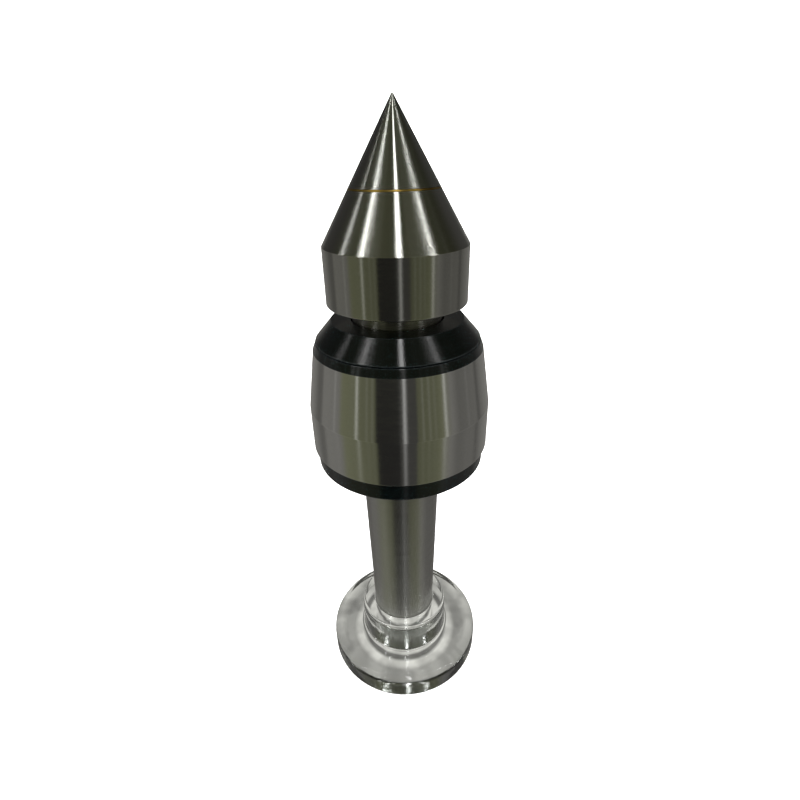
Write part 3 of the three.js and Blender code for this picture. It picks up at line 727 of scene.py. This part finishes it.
class LIVECENTER_OT_braze_joint(bpy.types.Operator):
    """Run the brass braze between the carbide point and the steel"""

    bl_idname = "live_center.braze_joint"
    bl_label = "Braze joint"

    def execute(self, context):
        bottom, top, outer = span("braze_joint")
        thick, wall = BRAZE_THICKNESS, BRAZE_BORE + BRAZE_THICKNESS
        piece = plain("braze_line", "brass_braze", [
            (0.0, bottom, 0.0), (wall, bottom, 0.1),
            (wall, top - thick, 0.05), (outer, top - thick, 0.03),
            (outer - thick * POINT_SLOPE, top, 0.03), (BRAZE_BORE, top, 0.05),
            (BRAZE_BORE, bottom + thick, 0.05), (0.0, bottom + thick, 0.0),
        ], closed=False)
        fit(piece, "spindle", "braze", "braze_joint")
        return {"FINISHED"}


class LIVECENTER_OT_stage(bpy.types.Operator):
    """Set the pale floor, the room, the lamps and the camera"""

    bl_idname = "live_center.stage"
    bl_label = "Stage"

    def execute(self, context):
        pale_bowl()
        bench_mat()
        room()
        for lamp in LAMPS:
            hang_lamp(*lamp)
        place_camera()
        context.scene.view_settings.view_transform = "Standard"
        return {"FINISHED"}


# ---- stage

STAGE_SEGMENTS = 96
BOWL_RADIUS, BOWL_HEIGHT, BOWL_ROUND = 3000.0, 3600.0, 900.0   # mm
BOWL_Z, MAT_Z = -0.01, -0.005   # mm, so that neither lies in the foot's underside

# Rings of light on the bench under the foot: radius in mm and brightness.
MAT_RADIUS = 70.0
BENCH_RINGS = ((0, 0.12), (12, 0.25), (14.5, 1.0), (17, 1.0), (18, 0.3), (19.5, 0.25),
               (21, 1.0), (23, 0.9), (25, 0.5), (29, 0.5), (32, 0.8), (34, 1.0), (35.5, 0.5),
               (40, 0.5), (70, 0.5))

# The room that the metal mirrors: azimuth in degrees, brightness and tint. 0 is on the
# camera's side and 90 on the right. A dark screen stands just left of the camera, green-grey
# partitions stand either side of it, and plain walls close the room at the sides and back.
GREEN, PLAIN = linear("#fcffd2"), linear("#fffcf6")
WALLS = (
    (-180, 0.26, PLAIN), (-135, 0.24, PLAIN), (-120, 0.15, PLAIN), (-112, 0.16, PLAIN),
    (-109, 0.27, PLAIN), (-80, 0.25, PLAIN), (-74, 0.22, GREEN), (-48, 0.17, GREEN),
    (-32, 0.15, GREEN), (-29, 0.12, GREEN), (-28, 0.028, PLAIN), (-1, 0.028, PLAIN),
    (1, 0.07, PLAIN), (20, 0.07, PLAIN), (22, 0.14, GREEN), (46, 0.16, GREEN),
    (52, 0.20, GREEN), (66, 0.25, PLAIN), (77, 0.17, PLAIN), (108, 0.20, PLAIN),
    (113, 0.11, PLAIN), (119, 0.19, PLAIN), (132, 0.24, PLAIN), (180, 0.26, PLAIN),
)
# The same room above the partitions, where the cones look: dim at the sides.
CEILING = (
    (-180, 0.10, PLAIN), (-122, 0.07, PLAIN), (-88, 0.10, GREEN), (-60, 0.16, GREEN),
    (0, 0.12, GREEN), (50, 0.14, GREEN), (78, 0.09, GREEN), (104, 0.06, GREEN),
    (125, 0.10, PLAIN), (180, 0.10, PLAIN),
)
# Upright bright strips, such as window edges and tubes: azimuth, half width and brightness.
STRIPS = (
    (-86, 2, 0.14), (-53, 2.5, 0.55), (-40, 1.5, 0.10), (-33, 1.2, 0.12), (6, 3, 0.6),
    (28, 1.5, 0.12), (36, 1.5, 0.12), (43, 1.2, 0.10), (57, 2.5, 0.55), (92, 2, 0.07),
)
# Share of brightness by height of the direction, from -1 straight down to 1 straight up.
WALL_HEIGHT = ((-1.0, 1.2), (-0.8, 0.95), (-0.55, 1.0), (-0.2, 1.0), (0.2, 0.9), (1.0, 0.8))
STRIP_HEIGHT = ((-1.0, 0.2), (-0.6, 0.35), (-0.35, 0.85), (-0.1, 1.0), (0.3, 1.6), (1.0, 1.6))
RAMP_TOP = 2.0    # ramps hold 0 to 1, so heights are stored as a share of this
CEILING_FROM, CEILING_FULL = -0.02, 0.12   # heights between which the ceiling takes over

# Name, azimuth and elevation in degrees, width and height in mm, and power in watts.
LAMP_DISTANCE = 1.5
LAMPS = (
    ("lamp_left", -62, 44, 45, 1200, 2.5),
    ("lamp_right", 66, 44, 30, 1200, 1.6),
    ("lamp_front", 6, 56, 110, 1200, 3.2),
    ("lamp_far_left", -96, 28, 40, 800, 0.5),
)

CAMERA_PLACE = (0.0, -0.16175, 0.2158)
CAMERA_DOWN, CAMERA_TURN, CAMERA_ROLL = 27.54, 0.09, -1.31   # degrees
CAMERA_VIEW = 80.1                                           # degrees across


def pale_bowl():
    """Plain pale floor that rises into a wall. It glows a little, as paper under lamps does."""
    made, tree = new_material("pale_paper")
    paper = linear("#f4f4f4")
    tone = add(tree, "ShaderNodeValToRGB", None, {"Fac": blotches(tree, 0.5)},
               stops=[(NOISE_LOW, tuple(c * 0.98 for c in paper)), (NOISE_HIGH, paper)])
    face = add(tree, "ShaderNodeBsdfPrincipled", None, {
        "Base Color": tone.outputs["Color"],
        "Roughness": 0.9,
        "Emission Color": (1.0, 1.0, 1.0, 1.0),
        "Emission Strength": 0.98,
    })
    add(tree, "ShaderNodeOutputMaterial", None, {"Surface": face.outputs["BSDF"]})
    floor = plain("floor", made.name, [
        (0.0, BOWL_Z, 0.0), (BOWL_RADIUS, BOWL_Z, BOWL_ROUND), (BOWL_RADIUS, BOWL_HEIGHT, 0.0),
    ], closed=False, segments=STAGE_SEGMENTS)
    floor.data.flip_normals()
    floor.visible_glossy = False
    floor.visible_transmission = False


def bench_mat():
    """The lit bench that shows through the foot, with the rings of light that the turned
    acrylic gathers on it. Only light that has passed through the acrylic sees it."""
    made, tree = new_material("lit_bench")
    place = add(tree, "ShaderNodeTexCoord").outputs["Object"]
    flat = add(tree, "ShaderNodeVectorMath", {"operation": "LENGTH"}, {0: place})
    share = add(tree, "ShaderNodeMath", {"operation": "DIVIDE"},
                {0: flat.outputs["Value"], 1: MAT_RADIUS * MM})
    rings = add(tree, "ShaderNodeValToRGB", None, {"Fac": share.outputs[0]},
                stops=[(r / MAT_RADIUS, tuple(level * c for c in PLAIN))
                       for r, level in BENCH_RINGS])
    cloudy = add(tree, "ShaderNodeValToRGB", None, {"Fac": blotches(tree, 11 * MM)},
                 stops=[(0.35, 0.65), (0.5, 0.85), (0.56, 1.0)])
    apart = add(tree, "ShaderNodeSeparateXYZ", None, {"Vector": place})
    # Painted light: the bench glows brighter at the front and dimmer towards the back.
    front = add(tree, "ShaderNodeMapRange", None, {
        "Value": apart.outputs["Y"], "From Min": -MAT_RADIUS / 2 * MM,
        "From Max": MAT_RADIUS / 2 * MM, "To Min": 1.0, "To Max": 0.6})
    even = add(tree, "ShaderNodeMix", {"data_type": "RGBA", "blend_type": "MULTIPLY"},
               {0: 1.0, 6: rings.outputs["Color"], 7: cloudy.outputs["Color"]})
    light = add(tree, "ShaderNodeMix", {"data_type": "RGBA", "blend_type": "MULTIPLY"},
                {0: 1.0, 6: even.outputs[2], 7: front.outputs["Result"]})
    glow = add(tree, "ShaderNodeEmission", None, {"Color": light.outputs[2]})
    add(tree, "ShaderNodeOutputMaterial", None, {"Surface": glow.outputs["Emission"]})
    mat = plain("bench", made.name, [(0.0, MAT_Z, 0.0), (MAT_RADIUS, MAT_Z, 0.0)],
                closed=False, segments=STAGE_SEGMENTS)
    mat.visible_camera = mat.visible_diffuse = mat.visible_glossy = mat.visible_shadow = False


def room():
    """World light that the metal and the acrylic see: a room that changes with direction."""
    world = bpy.data.worlds.new("room")
    bpy.context.scene.world = world
    world.use_nodes = True
    tree = world.node_tree
    tree.nodes.clear()
    way = add(tree, "ShaderNodeTexCoord").outputs["Generated"]
    parts = add(tree, "ShaderNodeSeparateXYZ", None, {"Vector": way})
    back = add(tree, "ShaderNodeMath", {"operation": "MULTIPLY"}, {0: parts.outputs["Y"], 1: -1.0})
    azimuth = add(tree, "ShaderNodeMath", {"operation": "ARCTAN2"},
                  {0: parts.outputs["X"], 1: back.outputs[0]})
    turn = add(tree, "ShaderNodeMapRange", None,
               {"Value": azimuth.outputs[0], "From Min": -math.pi, "From Max": math.pi})
    lift = add(tree, "ShaderNodeMapRange", None,
               {"Value": parts.outputs["Z"], "From Min": -1.0, "From Max": 1.0})

    above = add(tree, "ShaderNodeMapRange", None, {
        "Value": parts.outputs["Z"], "From Min": CEILING_FROM, "From Max": CEILING_FULL})
    strips = [point for a, half, level in STRIPS
              for point in ((a - half, 0.0), (a, level), (a + half, 0.0))]
    seen = {}
    for name, along, stops in (
            ("walls", turn, [(a / 360 + 0.5, tuple(level * c for c in tint))
                             for a, level, tint in WALLS]),
            ("ceiling", turn, [(a / 360 + 0.5, tuple(level * c for c in tint))
                               for a, level, tint in CEILING]),
            ("strips", turn, [(a / 360 + 0.5, level) for a, level in strips]),
            ("wall fade", lift, [(z / 2 + 0.5, share / RAMP_TOP) for z, share in WALL_HEIGHT]),
            ("strip fade", lift, [(z / 2 + 0.5, share / RAMP_TOP)
                                  for z, share in STRIP_HEIGHT])):
        ramp = add(tree, "ShaderNodeValToRGB", None, {"Fac": along.outputs["Result"]},
                   stops=stops)
        seen[name] = ramp.outputs["Color"]
    for name, kind, share, first, second in (
            ("sides", "MIX", above.outputs["Result"], "walls", "ceiling"),
            ("lit sides", "MULTIPLY", 1.0, "sides", "wall fade"),
            ("lit strips", "MULTIPLY", 1.0, "strips", "strip fade"),
            ("all", "ADD", 1.0, "lit sides", "lit strips")):
        mix = add(tree, "ShaderNodeMix", {"data_type": "RGBA", "blend_type": kind},
                  {0: share, 6: seen[first], 7: seen[second]})
        seen[name] = mix.outputs[2]
    glow = add(tree, "ShaderNodeBackground", None, {"Color": seen["all"], "Strength": RAMP_TOP})
    add(tree, "ShaderNodeOutputWorld", None, {"Surface": glow.outputs["Background"]})


def hang_lamp(name, azimuth, elevation, width, height, power):
    """An area lamp that faces the part from a direction."""
    lamp = bpy.data.lights.new(name, "AREA")
    lamp.shape, lamp.size, lamp.size_y = "RECTANGLE", width * MM, height * MM
    lamp.energy = power
    holder = bpy.data.objects.new(name, lamp)
    a, e = math.radians(azimuth), math.radians(elevation)
    way = Vector((math.sin(a) * math.cos(e), -math.cos(a) * math.cos(e), math.sin(e)))
    centre = (CAD_BOX[0] + CAD_BOX[1]) / 2
    holder.location = centre + way * LAMP_DISTANCE
    holder.rotation_euler = way.to_track_quat("Z", "Y").to_euler()
    bpy.context.scene.collection.objects.link(holder)


def place_camera():
    """Camera above the point, close in, looking down on the body."""
    lens = bpy.data.cameras.new("camera")
    lens.angle = math.radians(CAMERA_VIEW)
    lens.clip_start, lens.clip_end = 0.01, 20.0
    camera = bpy.data.objects.new("camera", lens)
    camera.matrix_world = (Matrix.Translation(CAMERA_PLACE)
                           @ Matrix.Rotation(math.radians(-CAMERA_TURN), 4, "Z")
                           @ Matrix.Rotation(math.radians(90 - CAMERA_DOWN), 4, "X")
                           @ Matrix.Rotation(math.radians(CAMERA_ROLL), 4, "Z"))
    bpy.context.scene.collection.objects.link(camera)
    bpy.context.scene.camera = camera


# ---- bearings and lock nut

class LIVECENTER_OT_bearing_rings(bpy.types.Operator):
    """Grind the bearing rings, thrust washers, shim and needle cup"""

    bl_idname = "live_center.bearing_rings"
    bl_label = "Bearing rings"

    def execute(self, context):
        def ring(name, node, body, outline):
            fit(plain(name, "lapped_bearing_steel", outline), body, "bearing_steel", node)

        for name, node, body, seat, land in (
                ("front_outer_race", "front_bearing_outer_ring", "housing", 26.0, 20.95),
                ("front_inner_race", "front_bearing_inner_ring", "spindle", 12.5, 17.55)):
            bottom, top = low(node), high(node)
            ring(name, node, body,
                 [(seat, bottom, 0.6), (land, bottom, 0.2)]
                 + groove(FRONT_CIRCLE, (bottom + top) / 2, FRONT_GROOVE, land, "side")
                 + [(land, top, 0.2), (seat, top, 0.6)])
        for name, node, body, inner, upper in (
                ("thrust_lower_race", "thrust_housing_washer", "housing", 13.1, False),
                ("thrust_upper_race", "thrust_shaft_washer", "spindle", 12.5, True)):
            bottom, top, outer = span(node)
            flat, face = (top, bottom) if upper else (bottom, top)
            middle = bottom - WASHER_GAP if upper else top + WASHER_GAP
            ring(name, node, body,
                 [(inner, flat, 0.4), (inner, face, 0.3)]
                 + groove(THRUST_CIRCLE, middle, THRUST_GROOVE, face, "face")
                 + [(outer, face, 0.3), (outer, flat, 0.4)])
        bottom, top, outer = span("preload_shim")
        ring("preload_shim_ring", "preload_shim", "housing",
             [(12.8, bottom, 0.1), (outer, bottom, 0.1), (outer, top, 0.1), (12.8, top, 0.1)])
        bottom, top, outer = span("needle_cup")
        ring("needle_cup_shell", "needle_cup", "housing",
             [(6.6, bottom, 0.1), (outer, bottom, 0.5), (outer, top, 0.5), (6.6, top, 0.1),
              (6.6, top - 0.5, 0.1), (outer - 0.5, top - 0.5, 0.1),
              (outer - 0.5, bottom + 0.5, 0.1), (6.6, bottom + 0.5, 0.1)])
        return {"FINISHED"}


# Radii in mm: circles that the rolling elements stand on, balls and needles, and grooves.
FRONT_CIRCLE, THRUST_CIRCLE, NEEDLE_CIRCLE = 19.25, 16.75, 7.3
FRONT_BALL, THRUST_BALL, NEEDLE, NEEDLE_HALF = 3.97, 2.78, 1.0, 4.0
FRONT_GROOVE, THRUST_GROOVE, WASHER_GAP = 4.27, 3.08, 1.9   # gap: washer to ball centres


def groove(circle, middle, radius, face, side):
    """Outline points of a ball groove cut into a face at a radius ("side") or height ("face")."""
    steps, centre = 16, circle if side == "side" else middle
    half, way = math.acos(abs(face - centre) / radius), 1 if face > centre else -1
    turns = [-half + 2 * half * k / steps for k in range(steps + 1)]
    if side == "side":
        return [(circle + way * radius * math.cos(t), middle + radius * math.sin(t), 0.0)
                for t in turns]
    return [(circle + radius * math.sin(t), middle + way * radius * math.cos(t), 0.0)
            for t in turns]


class LIVECENTER_OT_rolling_elements(bpy.types.Operator):
    """Lap the balls and needles of the three bearings"""

    bl_idname = "live_center.rolling_elements"
    bl_label = "Balls and needles"

    def execute(self, context):
        steps = 24
        for group, body, count, radius, circle in (
                ("front_ball", "front_cage", 9, FRONT_BALL, FRONT_CIRCLE),
                ("thrust_ball", "thrust_cage", 12, THRUST_BALL, THRUST_CIRCLE)):
            arc = [math.pi * (i / steps - 0.5) for i in range(1, steps)]
            outline = [(0.0, -radius, 0.0),
                       *((radius * math.cos(a), radius * math.sin(a), 0.0) for a in arc),
                       (0.0, radius, 0.0)]
            self.roll(group, body, outline, circle, count, 48)
        self.roll("needle", "needle_cage", [
            (0.0, -NEEDLE_HALF, 0.0), (NEEDLE, -NEEDLE_HALF, 0.25),
            (NEEDLE, NEEDLE_HALF, 0.25), (0.0, NEEDLE_HALF, 0.0)], NEEDLE_CIRCLE, 12, 32)
        return {"FINISHED"}

    def roll(self, group, body, outline, circle, count, segments):
        """Turns a bearing's rolling elements and sets them round their circle."""
        for k in range(count):
            node = f"{group}_{k + 1:02d}"
            angle, middle = 2 * math.pi * k / count, (low(node) + high(node)) / 2
            piece = plain(f"{node}_steel", "lapped_bearing_steel", outline, closed=False,
                          segments=segments)
            piece.data.transform(Matrix.Translation(
                (circle * MM * math.cos(angle), circle * MM * math.sin(angle), middle * MM)))
            fit(piece, body, "bearing_steel", node)


class LIVECENTER_OT_cages(bpy.types.Operator):
    """Machine the three cages that space the balls and needles"""

    bl_idname = "live_center.cages"
    bl_label = "Cages"

    def execute(self, context):
        for name, node, body, inner, outer, finish, slot, count, circle, cut in (
                ("front_cage_brass", "front_bearing_cage", "front_cage", 18.15, 20.35,
                 "machined_cage_brass", "cage_brass", 9, FRONT_CIRCLE, ("lying", 4.27)),
                ("thrust_cage_brass", "thrust_cage", "thrust_cage", 12.87, 20.63,
                 "machined_cage_brass", "cage_brass", 12, THRUST_CIRCLE, ("standing", 2.93)),
                ("needle_cage_steel", "needle_cage", "needle_cage", 6.9, 7.7,
                 "lapped_bearing_steel", "bearing_steel", 12, NEEDLE_CIRCLE, ("slot", 1.15))):
            bottom, top = low(node), high(node)
            piece = plain(name, finish, [
                (inner, bottom, 0.15), (outer, bottom, 0.15), (outer, top, 0.15),
                (inner, top, 0.15)], segments=144)
            middle = (bottom + top) / 2
            cut_away(piece, [self.cutter(cut, circle, middle, 2 * math.pi * k / count)
                             for k in range(count)])
            fit(piece, body, slot, node)
        return {"FINISHED"}

    def cutter(self, cut, circle, middle, angle):
        """A drill or mill standing where one pocket goes."""
        kind, radius = cut
        if kind == "slot":
            return block_cutter(circle - 2, circle + 2, 2 * radius, middle - 4.3, middle + 4.3,
                                angle)
        half = 6.0
        drill = plain("drill", "machined_cage_brass", [
            (0.0, -half, 0.0), (radius, -half, 0.0), (radius, half, 0.0), (0.0, half, 0.0),
        ], closed=False, segments=36)
        lay = Matrix.Rotation(math.pi / 2, 4, "Y") if kind == "lying" else Matrix.Identity(4)
        drill.data.transform(Matrix.Rotation(angle, 4, "Z")
                             @ Matrix.Translation((circle * MM, 0, middle * MM)) @ lay)
        return drill


def block_cutter(inner, outer, width, bottom, top, angle):
    """A square-edged cutter between two radii, on the side of the axis that the angle names."""
    corners = [(r * MM, y * MM, z * MM) for z in (bottom, top)
               for r, y in ((inner, -width / 2), (outer, -width / 2),
                            (outer, width / 2), (inner, width / 2))]
    faces = [(3, 2, 1, 0), (4, 5, 6, 7), (0, 1, 5, 4), (1, 2, 6, 5), (2, 3, 7, 6), (3, 0, 4, 7)]
    block = mesh_object("block", corners, faces, [finish_for("lapped_bearing_steel")])
    block.data.transform(Matrix.Rotation(angle, 4, "Z"))
    return block


class LIVECENTER_OT_lock_nut(bpy.types.Operator):
    """Machine the slotted lock nut, and give the tab washer that holds it a bearing steel finish
    """

    bl_idname = "live_center.lock_nut"
    bl_label = "Lock nut and tab washer"

    def execute(self, context):
        bottom, top = low("lock_nut"), high("lock_nut")
        piece = plain("lock_nut_black", "black_oxide_steel", [
            (NUT_THREAD, bottom, 0.3), (LOCK_NUT - 1, bottom, 0.15),
            (LOCK_NUT, bottom + 1, 0.15), (LOCK_NUT, top, 0.3), (NUT_THREAD, top, 0.3),
        ], segments=144)
        cut_away(piece, [block_cutter(LOCK_NUT - 2, LOCK_NUT + 1, NUT_SLOT, bottom - 1, top + 1,
                                      k * math.pi / 2) for k in range(4)])
        fit(piece, "spindle", "black_oxide", "lock_nut")
        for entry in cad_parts["tab_washer"].material_slots:
            entry.material = finish_for("lapped_bearing_steel")
        return {"FINISHED"}


# ---- panel and registration

PIECES = (
    LIVECENTER_OT_clear_foot, LIVECENTER_OT_housing, LIVECENTER_OT_front_cap,
    LIVECENTER_OT_seals, LIVECENTER_OT_spindle, LIVECENTER_OT_carbide_tip,
    LIVECENTER_OT_braze_joint, LIVECENTER_OT_bearing_rings, LIVECENTER_OT_rolling_elements,
    LIVECENTER_OT_cages, LIVECENTER_OT_lock_nut, LIVECENTER_OT_stage,
)


class LIVECENTER_PT_pieces(bpy.types.Panel):
    """Pieces of the live center, in the order they are built"""

    bl_idname = "LIVECENTER_PT_pieces"
    bl_label = "Live Center"
    bl_space_type = "VIEW_3D"
    bl_region_type = "UI"
    bl_category = "Live Center"

    def draw(self, context):
        for piece in PIECES:
            self.layout.operator(piece.bl_idname)
        for group in (sizes(), finishes()):
            column = self.layout.column()
            for key in group.bl_rna.properties.keys():
                if key not in ("rna_type", "name"):
                    column.prop(group, key)


CLASSES = (LiveCenterSizes, LiveCenterFinishes, *PIECES, LIVECENTER_PT_pieces)


def register():
    for cls in CLASSES:
        bpy.utils.register_class(cls)
    bpy.types.Scene.live_center_sizes = PointerProperty(type=LiveCenterSizes)
    bpy.types.Scene.live_center_finishes = PointerProperty(type=LiveCenterFinishes)


def unregister():
    del bpy.types.Scene.live_center_finishes
    del bpy.types.Scene.live_center_sizes
    for cls in reversed(CLASSES):
        bpy.utils.unregister_class(cls)


def main():
    register()
    for piece in PIECES:
        group, name = piece.bl_idname.split(".")
        getattr(getattr(bpy.ops, group), name)()


if __name__ == "__main__":
    main()
